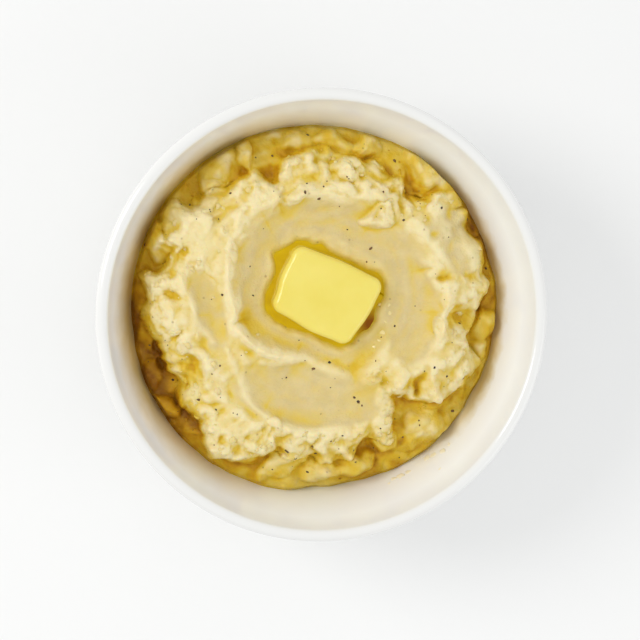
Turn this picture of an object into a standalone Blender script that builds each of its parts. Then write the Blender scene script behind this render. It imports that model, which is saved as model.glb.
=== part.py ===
"""A side of mashed potato in a round white bowl, with a pat of butter melting on top.

Units are metres, with +Z up. The origin is the centre of the face that the bowl stands on.
The measures below are in millimetres, and each mesh is scaled by MM when it is made.
"""

import math

import bmesh
import bpy
import numpy as np

MM = 0.001
SHARP_ANGLE = math.radians(50)

# Bowl: full-round lip, straight wall that leans out, one bend into a flat floor, foot ring.
BOWL_RADIUS = 82.5
BOWL_HEIGHT = 62.0
WALL = 4.6
WALL_LEAN = math.radians(19.6)
FLOOR_HEIGHT = 8.2
FLOOR_BEND = 30.0
FOOT_OUTER = 41.0
FOOT_INNER = 36.0
FOOT_ROUNDING = 0.9
BOWL_SIDES = 64
BEND_STEPS = 7
LIP_STEPS = 6

LIP = WALL / 2
LIP_CENTRE = (BOWL_RADIUS - LIP, BOWL_HEIGHT - LIP)
INWARD = (-math.cos(WALL_LEAN), math.sin(WALL_LEAN))

# Pat of butter: its four corners seen from above, and how far melting has rounded it.
PAT_CORNERS = ((-18.1, 2.1), (9.8, -12.4), (24.6, 11.3), (-8.9, 26.1))
PAT_CORNER_RADIUS = 4.0
PAT_SIDE_BOW = 0.7
PAT_TOP = 52.6
PAT_EDGE_RADIUS = 2.4
PAT_FOOT_SPREAD = 0.4
PAT_WAIST_SPREAD = 0.1
PAT_CROWN = 0.15
PAT_EDGE_STEPS = 4

# Melted butter lies in a flat-bottomed well round the pat.
WELL_FLOOR = 44.0
WELL_MARGIN = 6.0
WELL_RUN = 7.0
POOL_TOP = 45.2
POOL_WIDTH = 1.6
GAP = 0.3

# Where the pool is wider or narrower: direction and spread in degrees from the pat's middle.
POOL_LOBES = (
    (141, 9, 3.4),
    (92, 9, 1.2),
    (-6, 7, 1.2),
    (-32, 13, 3.0),
    (-140, 16, 1.8),
    (180, 26, 1.2),
)

# Mash: a low layer out to the bowl's wall, with a mound heaped on it.
MASH_CLEARANCE = 0.4
CONTACT_HEIGHT = 34.0
CONTACT_NOISE = 0.8
CONTACT_NOISE_SIZE = 6.0
LOW_LEVEL = 41.5
LOW_EDGE = 6
MOUND_TOP = 50.5
MOUND_REACH = 57.5
STEEP_RUN = 4.5
STEEP_SHARE = 0.45
SLOPE_RUN = 17.0
BLEND = 0.6
TOP_RINGS = 26
UNDER_POINTS = 48
UNDER_STEPS = 5

# Lobes and notches of the mound's outline: direction and spread in degrees, reach.
MOUND_LOBES = (
    (10, 8, 9.5),
    (22, 6, 8.0),
    (33, 5, 8.0),
    (41, 5, 9.0),
    (50, 5, -3.5),
    (66, 7, 1.5),
    (92, 12, 3.0),
    (108, 4, -5.0),
    (130, 5, 1.5),
    (146, 7, 11.5),
    (167, 4, 9.0),
    (180, 8, 7.0),
    (197, 7, 2.5),
    (215, 6, 3.5),
    (233, 9, 9.0),
    (253, 6, -4.0),
    (268, 5, -3.0),
    (290, 8, -5.5),
    (312, 9, -14.0),
    (334, 7, 5.5),
    (343, 4, 5.5),
)

# Where the low layer is deeper: direction and spread in degrees, rise.
LOW_DIPS = ((205, 24, -7.0), (136, 9, -4.5), (28, 12, -4.5), (355, 10, -3.0), (278, 28, -3.5))

# Waves of the line where the mash meets the wall: how many go round, phase, rise.
CONTACT_WAVES = ((3, 0.6, 0.55), (7, 2.0, 0.33), (13, 0.0, 0.22))

# Where the mash meets the wall lower down: direction and spread in degrees, rise.
CONTACT_DIPS = ((278, 22, -4.0), (190, 30, -2.0), (58, 12, 1.5))

# Lumps of the low layer: centre x, centre y, half length, half width, turn in degrees, top.
LOW_LUMPS = (
    (-36, 53, 9, 6.5, 60, 43.5),
    (-26, 57.5, 4.5, 6, 20, 44.5),
    (-38, 47.5, 4.2, 4.2, 0, 45.5),
    (-8, 63.5, 8, 4.2, 0, 42.0),
    (6, 61.5, 8, 4.5, -10, 42.5),
    (18, 60, 7, 5, -20, 43.0),
    (43, 50, 14, 9, -45, 45.5),
    (62.5, -5, 6, 5.5, 90, 43.0),
    (62, -14, 4.5, 4.5, 0, 42.0),
    (39, -45, 13, 8, 15, 44.0),
    (26, -48, 6, 5, 40, 43.0),
    (14, -57, 8, 6, 20, 42.5),
    (2, -59, 9, 5.5, 0, 42.5),
    (-14, -57, 9, 6, 10, 43.0),
    (-30, -51, 11, 6, -10, 44.5),
    (-55, -35, 6, 4.5, 120, 39.5),
    (-60, -23, 6, 4.5, 110, 38.5),
    (-57.5, 27, 9, 7, 118, 46.5),
    (-60, 11, 6.5, 4.5, 100, 45.5),
    (-58, 0, 5.5, 4, 85, 44.5),
)

# Hollows drawn by the spoon: centre x, centre y, half length, half width, turn, floor, rim.
SPOON_CUTS = (
    (4, 12, 38, 31, -6, 44.0, 49.5),
    (-4, -31, 29, 12, -8, 46.0, 48.8),
    (33, 1, 22, 12, 100, 46.0, 49.5),
    (-41, 1, 16, 6, 105, 48.2, 49.6),
    (50, 26, 14, 10, -60, 49.2, 51.0),
)

# Ridges left by the spoon: four handles of a curve, height, run on its left and on its right.
RIDGES = (
    (((-34, 30), (-37, 2), (-26, -25), (0, -12)), 4.0, 5.0, 2.4),
    (((-50, 34), (-56, 8), (-44, -8), (-31, -15)), 2.4, 4.0, 4.0),
    (((-58, 18), (-56, -2), (-48, -14), (-38, -20)), 2.0, 3.5, 4.0),
    (((-34, -12), (-29, -38), (-10, -50), (19, -42)), 2.6, 4.5, 3.5),
    (((34, 36), (52, 18), (54, -8), (25, -35)), 3.0, 3.5, 6.0),
    (((-26, 38), (-14, 46), (4, 44), (19, 41)), 2.6, 4.5, 4.0),
    (((-23, 58), (-23, 48), (-27, 40), (-34, 28)), 2.6, 5.0, 3.5),
    (((42, -24), (42, -28), (44, -32), (43, -38)), 2.2, 3.0, 3.0),
    (((31, -20), (30, -24), (29, -28), (28, -34)), 2.0, 3.0, 3.0),
    (((10, 44), (10, 48), (11, 52), (11, 56)), 1.8, 3.0, 3.0),
)
RIDGE_STEPS = 16
SPOON_POWER = 3.2
RIDGE_POWER = 1.3

# Small dents: centre x, centre y, radius, rise.
DENTS = (
    (-19, 51, 3.5, -2.5),
    (5, 52, 2.5, -1.2),
    (39.5, 35, 1.6, -1.0),
    (41.5, 29, 1.6, -1.0),
    (45.5, 14.5, 3.0, -4.0),
    (53, -3.5, 4.0, -3.5),
    (34, 49.5, 3.0, -2.5),
    (35.5, -27, 4.0, -3.0),
    (40, -24.5, 3.0, -2.0),
    (-46.5, -18.5, 3.2, -3.0),
    (-43, -9, 3.0, -1.5),
    (-13.7, -49.5, 2.2, -2.5),
    (32, -48.5, 2.5, -2.0),
)

# Torn clumps left on the smoothed places: centre x, centre y, half sizes, turn, rise.
CLUMPS = (
    (21.8, 34.6, 5.6, 4.4, 20, 2.2),
    (26.0, 36.4, 4.2, 3.2, 60, 1.2),
    (-8, 43, 5.0, 3.6, 20, 1.6),
    (-33, 24, 4.5, 3.0, 80, 1.2),
    (21, -24, 4.0, 2.6, 40, 1.2),
    (44, -6, 4.5, 3.0, 80, 1.2),
    (-17, -41, 4.0, 2.6, -20, 1.0),
)

# Torn mash: size and rise of its lumps, and size and reach of its ragged edges.
LUMP_SIZES = ((12.0, 2.0), (6.5, 1.4))
CREASE_ROUNDING = 0.08
TEAR_SIZE = 9.0
TEAR_REACH = 2.4
CUT_TEAR_SIZE = 13.0
CUT_TEAR_REACH = 1.6
TOP_ROUGHNESS = 0.35
SPOONED_ROUGHNESS = 0.15
ROUGH_RUN = 18.0
LOW_ROUGHNESS = 0.5
LOW_ROUGH_RUN = 4.0
SPOON_EDGE = 1.12
SPOON_EDGE_RUN = 0.3
SMOOTH_AT_WALL = 0.05
ROLL_OFF = 0.02
NOISE_SEED = 11
NOISE_CELLS = 64
NOISE_GAIN = 1.7
LUMP_GAIN = 2.0
LUMP_SINK = 0.6


def radial_wall(height, inset=0.0):
    """Radius of the inner wall's straight part at a height, moved square off the wall."""
    start_radius = LIP_CENTRE[0] + (LIP + inset) * INWARD[0]
    start_height = LIP_CENTRE[1] + (LIP + inset) * INWARD[1]
    return start_radius + (height - start_height) * math.tan(WALL_LEAN)


def bend_centre():
    """Centre, as radius and height, of the bend between the bowl's wall and its floor."""
    height = FLOOR_HEIGHT + FLOOR_BEND
    touch = height - FLOOR_BEND * INWARD[1]
    return radial_wall(touch) + FLOOR_BEND * INWARD[0], height


def arc(centre, radius, start, end, steps):
    """Points, as radius and height, on an arc between two angles measured from straight down."""
    angles = np.linspace(start, end, steps + 1)
    return [(centre[0] + radius * math.sin(a), centre[1] - radius * math.cos(a)) for a in angles]


def bowl_profile():
    """The bowl's section from the middle of its floor, over the lip, to the middle below."""
    centre = bend_centre()
    wall_turn = math.pi / 2 - WALL_LEAN
    inner = arc(centre, FLOOR_BEND, 0, wall_turn, BEND_STEPS)
    lip = arc(LIP_CENTRE, LIP, wall_turn + math.pi, wall_turn, LIP_STEPS)
    outer_radius = FLOOR_BEND + WALL
    foot_turn = math.asin((FOOT_OUTER - centre[0]) / outer_radius)
    outer = arc(centre, outer_radius, wall_turn, foot_turn, BEND_STEPS)
    ceiling = FLOOR_HEIGHT - WALL
    foot = [
        (FOOT_OUTER - FOOT_ROUNDING / 3, FOOT_ROUNDING),
        (FOOT_OUTER - FOOT_ROUNDING, 0.0),
        (FOOT_INNER + FOOT_ROUNDING, 0.0),
        (FOOT_INNER + FOOT_ROUNDING / 3, FOOT_ROUNDING),
        (FOOT_INNER, ceiling),
    ]
    return [(0.0, FLOOR_HEIGHT)] + inner + lip + outer + foot + [(0.0, ceiling)]


def lathe(profile, sides):
    """Rings of points for a section turned round +Z; a point on the axis stays single."""
    rings = []
    for radius, height in profile:
        count = sides if radius > 0 else 1
        angles = np.arange(count) * 2 * math.pi / count
        rings.append([(radius * math.cos(a), radius * math.sin(a), height) for a in angles])
    return rings


def pat_sides():
    """Start, direction and outward normal of each straight side of the pat."""
    sides = []
    for number, start in enumerate(PAT_CORNERS):
        end = PAT_CORNERS[(number + 1) % len(PAT_CORNERS)]
        along = np.subtract(end, start) / math.dist(start, end)
        sides.append((np.array(start), along, np.array((along[1], -along[0]))))
    return sides


def pat_distance(x, y):
    """Distance outside the pat's sides, negative inside them."""
    distances = [(x - s[0]) * n[0] + (y - s[1]) * n[1] for s, _, n in pat_sides()]
    return np.max(distances, axis=0)


def pat_loop(offset, corner_steps=5, side_steps=4):
    """The pat's rounded outline moved out, by a length or by a function of the place."""
    sides = pat_sides()
    loop = []

    def place(centre, radius, angle):
        facing = np.array((math.cos(angle), math.sin(angle)))
        edge = centre + radius * facing
        loop.append(edge + facing * (offset(*edge) if callable(offset) else offset))

    for number, (corner, along, normal) in enumerate(sides):
        _, along_before, normal_before = sides[number - 1]
        turn = math.acos(np.dot(along_before, along))
        inward = (along - along_before) / np.linalg.norm(along - along_before)
        centre = corner + inward * PAT_CORNER_RADIUS / math.cos(turn / 2)
        start = math.atan2(normal_before[1], normal_before[0])
        for step in range(corner_steps + 1):
            place(centre, PAT_CORNER_RADIUS, start + turn * step / corner_steps)
        tangent = PAT_CORNER_RADIUS * math.tan(turn / 2)
        length = math.dist(corner, PAT_CORNERS[(number + 1) % len(PAT_CORNERS)])
        for step in range(1, side_steps):
            share = step / side_steps
            bow = PAT_SIDE_BOW * math.sin(math.pi * share) ** 2
            reach = tangent + (length - 2 * tangent) * share
            place(corner + along * reach, bow, math.atan2(normal[1], normal[0]))
    return loop


def smooth_step(share):
    """A smooth rise from 0 to 1 as the share goes from 0 to 1."""
    share = np.clip(share, 0.0, 1.0)
    return share * share * (3 - 2 * share)


def ellipse_radius(x, y, centre_x, centre_y, half_length, half_width, turn):
    """Distance from an ellipse's centre, which is 1 on the ellipse itself."""
    cosine, sine = math.cos(math.radians(turn)), math.sin(math.radians(turn))
    along = ((x - centre_x) * cosine + (y - centre_y) * sine) / half_length
    across = ((y - centre_y) * cosine - (x - centre_x) * sine) / half_width
    return np.hypot(along, across)


def noise(x, y, size, seed):
    """Smooth noise between about -1 and 1 whose lumps are about one size across."""
    turns = np.random.default_rng(seed).uniform(0, 2 * math.pi, (NOISE_CELLS, NOISE_CELLS))
    column, row = np.floor(x / size).astype(int), np.floor(y / size).astype(int)
    u, v = x / size - column, y / size - row
    total = np.zeros(np.shape(x))
    for right in (0, 1):
        for up in (0, 1):
            turn = turns[(row + up) % NOISE_CELLS, (column + right) % NOISE_CELLS]
            ramp = np.cos(turn) * (u - right) + np.sin(turn) * (v - up)
            total += ramp * smooth_step(1 - abs(u - right)) * smooth_step(1 - abs(v - up))
    return NOISE_GAIN * total


def lumpy(x, y, size, seed):
    """Noise of round lumps with creases between them, from about -0.4 to 1."""
    return LUMP_GAIN * np.hypot(noise(x, y, size, seed), CREASE_ROUNDING) - LUMP_SINK


def contact_height(angle):
    """Height at which the mash meets the bowl's wall, in a given direction."""
    height = CONTACT_HEIGHT + lobes_reach(np.degrees(angle), CONTACT_DIPS)
    for count, phase, rise in CONTACT_WAVES:
        height = height + rise * np.sin(count * angle + phase)
    x, y = MOUND_REACH * np.cos(angle), MOUND_REACH * np.sin(angle)
    return height + CONTACT_NOISE * noise(x, y, CONTACT_NOISE_SIZE, NOISE_SEED + 25)


def low_layer(x, y):
    """Height of the low layer, which runs down to meet the wall."""
    angle = np.arctan2(y, x)
    contact = contact_height(angle)
    level = LOW_LEVEL + lobes_reach(np.degrees(angle), LOW_DIPS)
    reach = np.hypot(x, y) / radial_wall(contact)
    return contact + (level - contact) * (1 - np.clip(reach, 0, 1) ** LOW_EDGE)


def shoulder(share):
    """Rise of a round shoulder, steep where it starts and level where it ends."""
    return np.sqrt(1 - (1 - np.clip(share, 0, 1)) ** 2)


def low_lumps(x, y, ground):
    """The low layer with its own lumps on it."""
    layers = [ground]
    for *ellipse, top in LOW_LUMPS:
        inside = 1 - ellipse_radius(x, y, *ellipse)
        layers.append(ground + (top - ground) * shoulder(inside))
    return BLEND * np.logaddexp.reduce(np.array(layers) / BLEND)


def lobes_reach(direction, lobes):
    """Sum of the lobes, each its reach in its own direction and fading to both sides."""
    reach = np.zeros(np.shape(direction))
    for middle, spread, length in lobes:
        off = (direction - middle + 180) % 360 - 180
        reach = reach + length * np.exp(-((off / spread) ** 2))
    return reach


def mound_inside(x, y):
    """Distance inside the mound's lobed outline, negative outside it."""
    direction = np.degrees(np.arctan2(y, x))
    return MOUND_REACH + lobes_reach(direction, MOUND_LOBES) - np.hypot(x, y)


def mound_share(inside):
    """How much of its full height the mound has, from 0 at its outline to 1."""
    slope = np.sin(math.pi / 2 * np.clip(inside / SLOPE_RUN, 0, 1))
    return STEEP_SHARE * shoulder(inside / STEEP_RUN) + (1 - STEEP_SHARE) * slope


def cut_by_spoon(x, y, height):
    """The heap with the spoon's hollows taken out of it."""
    for *ellipse, floor, rim in SPOON_CUTS:
        hollow = floor + (rim - floor) * ellipse_radius(x, y, *ellipse) ** SPOON_POWER
        height = -BLEND * np.logaddexp(-height / BLEND, -hollow / BLEND)
    return height


def curve_points(handles, steps):
    """Points on a cubic Bezier curve."""
    t = np.linspace(0, 1, steps + 1)[:, None]
    a, b, c, d = np.array(handles, dtype=float)
    return a * (1 - t) ** 3 + 3 * b * t * (1 - t) ** 2 + 3 * c * t**2 * (1 - t) + d * t**3


def ridge_height(x, y, handles, height, left_run, right_run):
    """Height that a ridge adds, fading to nothing at both ends of its curve."""
    points = curve_points(handles, RIDGE_STEPS)
    highest = np.zeros(np.shape(x))
    for number in range(RIDGE_STEPS):
        start, step = points[number], points[number + 1] - points[number]
        share = ((x - start[0]) * step[0] + (y - start[1]) * step[1]) / (step @ step)
        share = np.clip(share, 0, 1)
        off_x = x - start[0] - share * step[0]
        off_y = y - start[1] - share * step[1]
        run = np.where(step[0] * off_y - step[1] * off_x > 0, left_run, right_run)
        fade = np.sqrt(np.sin(np.pi * (number + share) / RIDGE_STEPS).clip(0, 1))
        rise = height * fade * np.exp(-((np.hypot(off_x, off_y) / run) ** RIDGE_POWER))
        highest = np.maximum(highest, rise)
    return highest


def torn_share(x, y, inside):
    """How torn the mash is: least where the spoon smoothed it, most down the mound's side."""
    share = 1 - (1 - TOP_ROUGHNESS) * smooth_step(inside / ROUGH_RUN)
    share = share * (1 - (1 - LOW_ROUGHNESS) * smooth_step(-inside / LOW_ROUGH_RUN))
    for *ellipse, _, _ in SPOON_CUTS:
        within = smooth_step((SPOON_EDGE - ellipse_radius(x, y, *ellipse)) / SPOON_EDGE_RUN)
        share = share * (1 - (1 - SPOONED_ROUGHNESS) * within)
    reach = np.hypot(x, y) / radial_wall(CONTACT_HEIGHT)
    return share * smooth_step((1 - reach) / SMOOTH_AT_WALL)


def torn(x, y, size, reach, seed):
    """The same places moved a little to and fro, so that edges drawn there are ragged."""
    return x + reach * noise(x, y, size, seed), y + reach * noise(x, y, size, seed + 10)


def rolled_off(x, y, height):
    """The height brought down to meet the wall without a cliff."""
    contact = contact_height(np.arctan2(y, x))
    reach = np.hypot(x, y) / radial_wall(contact)
    return contact + (height - contact) * smooth_step((1 - reach) / ROLL_OFF)


def mash_height(x, y):
    """Height of the mash's top surface."""
    ragged_x, ragged_y = torn(x, y, TEAR_SIZE, TEAR_REACH, NOISE_SEED + 10)
    ground = low_layer(x, y)
    low = low_lumps(ragged_x, ragged_y, ground)
    inside = mound_inside(ragged_x, ragged_y)
    height = low + (MOUND_TOP - low) * mound_share(inside)
    uneven_x, uneven_y = torn(x, y, CUT_TEAR_SIZE, CUT_TEAR_REACH, NOISE_SEED + 20)
    height = cut_by_spoon(uneven_x, uneven_y, height)
    for handles, rise, left_run, right_run in RIDGES:
        height = height + ridge_height(uneven_x, uneven_y, handles, rise, left_run, right_run)
    for *ellipse, rise in CLUMPS:
        height = height + rise * shoulder(1 - ellipse_radius(ragged_x, ragged_y, *ellipse))
    for centre_x, centre_y, radius, rise in DENTS:
        off = np.hypot(x - centre_x, y - centre_y) / radius
        height = height + rise * np.exp(-(off**2))
    roughness = torn_share(x, y, inside)
    for number, (size, rise) in enumerate(LUMP_SIZES):
        height = height + rise * roughness * lumpy(ragged_x, ragged_y, size, NOISE_SEED + number)
    height = rolled_off(x, y, height)
    well = smooth_step((pat_distance(x, y) - WELL_MARGIN) / WELL_RUN)
    return WELL_FLOOR + (height - WELL_FLOOR) * well


def mash_rings(top_rings=TOP_RINGS):
    """Rings of points over the mash's top, down the wall and under it."""
    rings = []
    for number in range(top_rings + 1):
        count = max(1, 6 * number)
        angle = np.arange(count) * 2 * math.pi / count
        edge = radial_wall(contact_height(angle), MASH_CLEARANCE)
        radius = edge * number / top_rings
        x, y = radius * np.cos(angle), radius * np.sin(angle)
        height = mash_height(x, y) if number < top_rings else contact_height(angle)
        rings.append(list(zip(x, y, height)))
    bend = arc(bend_centre(), FLOOR_BEND - MASH_CLEARANCE, math.pi / 2 - WALL_LEAN, 0, UNDER_STEPS)
    floor = FLOOR_HEIGHT + MASH_CLEARANCE
    under = bend + [(bend[-1][0] / 2, floor), (0.0, floor)]
    return rings + lathe(under, UNDER_POINTS)


def pat_rings():
    """Rings of points over the pat's top and down its slumped sides to its flat underside."""
    foot = WELL_FLOOR + GAP
    top = PAT_TOP - PAT_EDGE_RADIUS
    levels = []
    for step in range(PAT_EDGE_STEPS + 1):
        angle = math.pi / 2 * step / PAT_EDGE_STEPS
        inset = PAT_EDGE_RADIUS * (1 - math.sin(angle))
        levels.append((-inset, top + PAT_EDGE_RADIUS * math.cos(angle)))
    levels.append((PAT_WAIST_SPREAD, (top + foot) / 2))
    levels.append((PAT_FOOT_SPREAD, foot + PAT_FOOT_SPREAD))
    levels.append((PAT_FOOT_SPREAD / 2, foot))
    middle = np.mean(PAT_CORNERS, axis=0)
    rings = [[(x, y, height) for x, y in pat_loop(offset)] for offset, height in levels]
    crown = [(middle[0], middle[1], PAT_TOP + PAT_CROWN)]
    base = [(middle[0], middle[1], foot)]
    return [crown] + rings + [base]


def pool_width(x, y):
    """Width of the melted butter beside the pat's edge at a place on it."""
    middle = np.mean(PAT_CORNERS, axis=0)
    direction = np.degrees(np.arctan2(y - middle[1], x - middle[0]))
    return POOL_WIDTH + lobes_reach(direction, POOL_LOBES)


def pool_rings():
    """Rings of points round the section of the melted butter, from its inner top edge."""
    inside = PAT_FOOT_SPREAD + GAP
    bottom = WELL_FLOOR + GAP
    lap = (POOL_TOP - bottom) / 2

    def shore(x, y):
        return pool_width(x, y) - lap

    loops = ((inside, POOL_TOP), (shore, POOL_TOP), (pool_width, bottom + lap / 2))
    loops += ((shore, bottom), (inside, bottom))
    return [[(x, y, height) for x, y in pat_loop(offset)] for offset, height in loops]


def zip_rings(mesh, inner, outer):
    """Faces between two rings of corners, whose counts may differ."""
    i = j = 0
    while i < len(inner) or j < len(outer):
        here, there = inner[i % len(inner)], outer[j % len(outer)]
        if j == len(outer) or (i < len(inner) and (i + 1) * len(outer) <= (j + 1) * len(inner)):
            i += 1
            corners = (here, there, inner[i % len(inner)])
        else:
            j += 1
            corners = (here, there, outer[j % len(outer)])
        if len(set(corners)) == 3:
            mesh.faces.new(corners)


def loft(name, rings, material, closed=False):
    """A solid through a list of rings, from one end point to the other or round in a loop."""
    mesh = bmesh.new()
    corners = [[mesh.verts.new(np.multiply(point, MM)) for point in ring] for ring in rings]
    followers = corners[1:] + corners[:1] if closed else corners[1:]
    for inner, outer in zip(corners, followers):
        zip_rings(mesh, inner, outer)
    data = bpy.data.meshes.new(name)
    mesh.to_mesh(data)
    mesh.free()
    data.shade_smooth()
    data.set_sharp_from_angle(angle=SHARP_ANGLE)
    data.materials.append(material)
    piece = bpy.data.objects.new(name, data)
    bpy.context.collection.objects.link(piece)
    return piece


def finish(name, colour, roughness):
    """A plain surface of one colour and roughness."""
    material = bpy.data.materials.new(name)
    material.use_nodes = True
    shader = material.node_tree.nodes["Principled BSDF"]
    shader.inputs["Base Color"].default_value = (*colour, 1.0)
    shader.inputs["Roughness"].default_value = roughness
    shader.inputs["Metallic"].default_value = 0.0
    return material


def main():
    for piece in list(bpy.data.objects):
        bpy.data.objects.remove(piece)
    glaze = finish("white_glaze", (0.86, 0.85, 0.82), 0.12)
    potato = finish("mashed_potato", (0.80, 0.66, 0.34), 0.45)
    butter = finish("butter", (0.87, 0.75, 0.25), 0.25)
    melted = finish("melted_butter", (0.66, 0.42, 0.01), 0.08)
    loft("bowl", lathe(bowl_profile(), BOWL_SIDES), glaze)
    loft("mash", mash_rings(), potato)
    loft("butter_pat", pat_rings(), butter)
    loft("melted_butter", pool_rings(), melted, closed=True)


if __name__ == "__main__":
    main()
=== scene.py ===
"""Looks of the mashed potato side: glazed bowl, torn mash, butter, pepper, floor, light, camera."""

import itertools
import math

import bmesh
import bpy
import numpy as np
from mathutils import Matrix, Vector
from mathutils.bvhtree import BVHTree


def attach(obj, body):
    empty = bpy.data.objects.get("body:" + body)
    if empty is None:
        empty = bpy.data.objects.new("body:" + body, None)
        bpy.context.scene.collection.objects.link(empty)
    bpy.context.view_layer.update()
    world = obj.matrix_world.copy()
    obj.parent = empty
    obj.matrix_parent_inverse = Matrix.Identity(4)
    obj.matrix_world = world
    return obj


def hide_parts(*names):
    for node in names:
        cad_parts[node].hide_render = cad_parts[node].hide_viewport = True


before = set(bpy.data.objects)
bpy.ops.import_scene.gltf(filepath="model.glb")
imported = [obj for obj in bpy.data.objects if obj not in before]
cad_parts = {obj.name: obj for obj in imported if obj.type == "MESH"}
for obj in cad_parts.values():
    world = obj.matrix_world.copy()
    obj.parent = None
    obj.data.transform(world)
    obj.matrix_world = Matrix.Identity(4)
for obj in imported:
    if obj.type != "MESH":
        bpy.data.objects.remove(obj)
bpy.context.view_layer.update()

MM = 0.001

# ---------------------------------------------------------------------------------------
# Measures of the object, in millimetres, as the solids have them.
# ---------------------------------------------------------------------------------------
BOWL_RADIUS = 82.5
BOWL_HEIGHT = 62.0
WALL = 4.6
WALL_LEAN = math.radians(19.6)
FLOOR_HEIGHT = 8.2
FLOOR_BEND = 30.0
FOOT_OUTER = 41.0
FOOT_INNER = 36.0
FOOT_ROUNDING = 0.9
LIP = WALL / 2
LIP_CENTRE = (BOWL_RADIUS - LIP, BOWL_HEIGHT - LIP)
INWARD = (-math.cos(WALL_LEAN), math.sin(WALL_LEAN))

PAT_CORNERS = ((-18.1, 2.1), (9.8, -12.4), (24.6, 11.3), (-8.9, 26.1))
PAT_CORNER_RADIUS = 4.0
PAT_SIDE_BOW = 0.7
PAT_TOP = 52.6
PAT_EDGE_RADIUS = 2.4
PAT_FOOT_SPREAD = 0.2

WELL_FLOOR = 44.0
WELL_MARGIN = 6.0
WELL_RUN = 7.0
POOL_TOP = 45.2
POOL_WIDTH = 1.6
POOL_LOBES = (
    (141, 9, 3.4),
    (92, 9, 1.2),
    (-6, 7, 1.2),
    (-32, 13, 3.0),
    (-140, 16, 1.8),
    (180, 26, 1.2),
)

MASH_CLEARANCE = -0.3
CONTACT_HEIGHT = 34.0
CONTACT_NOISE = 0.8
CONTACT_NOISE_SIZE = 6.0
LOW_LEVEL = 41.5
LOW_EDGE = 6
MOUND_TOP = 50.5
MOUND_REACH = 57.5
STEEP_RUN = 4.5
STEEP_SHARE = 0.45
SLOPE_RUN = 17.0
BLEND = 0.6

# Lobes and notches of the mound's outline: direction and spread in degrees, reach.
MOUND_LOBES = (
    (10, 8, 9.5),
    (22, 6, 8.0),
    (33, 5, 8.0),
    (41, 5, 9.0),
    (50, 5, -3.5),
    (66, 7, 1.5),
    (92, 12, 3.0),
    (108, 4, -5.0),
    (130, 5, 1.5),
    (146, 7, 11.5),
    (167, 4, 9.0),
    (180, 8, 7.0),
    (197, 7, 2.5),
    (215, 6, 3.5),
    (233, 9, 9.0),
    (253, 6, -4.0),
    (268, 5, -3.0),
    (290, 8, -5.5),
    (312, 9, -14.0),
    (334, 7, 5.5),
    (343, 4, 5.5),
)

# Where the low layer is deeper: direction and spread in degrees, rise.
LOW_DIPS = ((205, 24, -7.0), (136, 9, -4.5), (28, 12, -4.5), (355, 10, -3.0), (278, 28, -3.5))

# Waves of the line where the mash meets the wall: how many go round, phase, rise.
CONTACT_WAVES = ((3, 0.6, 0.55), (7, 2.0, 0.33), (13, 0.0, 0.22))

# Where the mash meets the wall lower down: direction and spread in degrees, rise.
CONTACT_DIPS = ((278, 22, -4.0), (190, 30, -2.0), (58, 12, 1.5))

# Lumps of the low layer: centre x, centre y, half length, half width, turn in degrees, top.
LOW_LUMPS = (
    (-36, 53, 9, 6.5, 60, 43.5),
    (-26, 57.5, 4.5, 6, 20, 44.5),
    (-38, 47.5, 4.2, 4.2, 0, 45.5),
    (-8, 63.5, 8, 4.2, 0, 42.0),
    (6, 61.5, 8, 4.5, -10, 42.5),
    (18, 60, 7, 5, -20, 43.0),
    (43, 50, 14, 9, -45, 45.5),
    (62.5, -5, 6, 5.5, 90, 43.0),
    (62, -14, 4.5, 4.5, 0, 42.0),
    (39, -45, 13, 8, 15, 44.0),
    (26, -48, 6, 5, 40, 43.0),
    (14, -57, 8, 6, 20, 42.5),
    (2, -59, 9, 5.5, 0, 42.5),
    (-14, -57, 9, 6, 10, 43.0),
    (-30, -51, 11, 6, -10, 44.5),
    (-55, -35, 6, 4.5, 120, 39.5),
    (-60, -23, 6, 4.5, 110, 38.5),
    (-57.5, 27, 9, 7, 118, 46.5),
    (-60, 11, 6.5, 4.5, 100, 45.5),
    (-58, 0, 5.5, 4, 85, 44.5),
)

# Hollows drawn by the spoon: centre x, centre y, half length, half width, turn, floor, rim.
SPOON_CUTS = (
    (4, 12, 38, 31, -6, 44.0, 49.5),
    (-4, -31, 29, 12, -8, 46.0, 48.8),
    (33, 1, 22, 12, 100, 46.0, 49.5),
    (-41, 1, 16, 6, 105, 48.2, 49.6),
    (50, 26, 14, 10, -60, 49.2, 51.0),
)

# Ridges left by the spoon: four handles of a curve, height, run on its left and on its right.
RIDGES = (
    (((-34, 30), (-37, 2), (-26, -25), (0, -12)), 4.0, 5.0, 2.4),
    (((-50, 34), (-56, 8), (-44, -8), (-31, -15)), 2.4, 4.0, 4.0),
    (((-58, 18), (-56, -2), (-48, -14), (-38, -20)), 2.0, 3.5, 4.0),
    (((-34, -12), (-29, -38), (-10, -50), (19, -42)), 2.6, 4.5, 3.5),
    (((34, 36), (52, 18), (54, -8), (25, -35)), 3.0, 3.5, 6.0),
    (((-26, 38), (-14, 46), (4, 44), (19, 41)), 2.6, 4.5, 4.0),
    (((-23, 58), (-23, 48), (-27, 40), (-34, 28)), 2.6, 5.0, 3.5),
    (((42, -24), (42, -28), (44, -32), (43, -38)), 2.2, 3.0, 3.0),
    (((31, -20), (30, -24), (29, -28), (28, -34)), 2.0, 3.0, 3.0),
    (((10, 44), (10, 48), (11, 52), (11, 56)), 1.8, 3.0, 3.0),
)
RIDGE_STEPS = 16
SPOON_POWER = 3.2
RIDGE_POWER = 1.3

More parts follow.
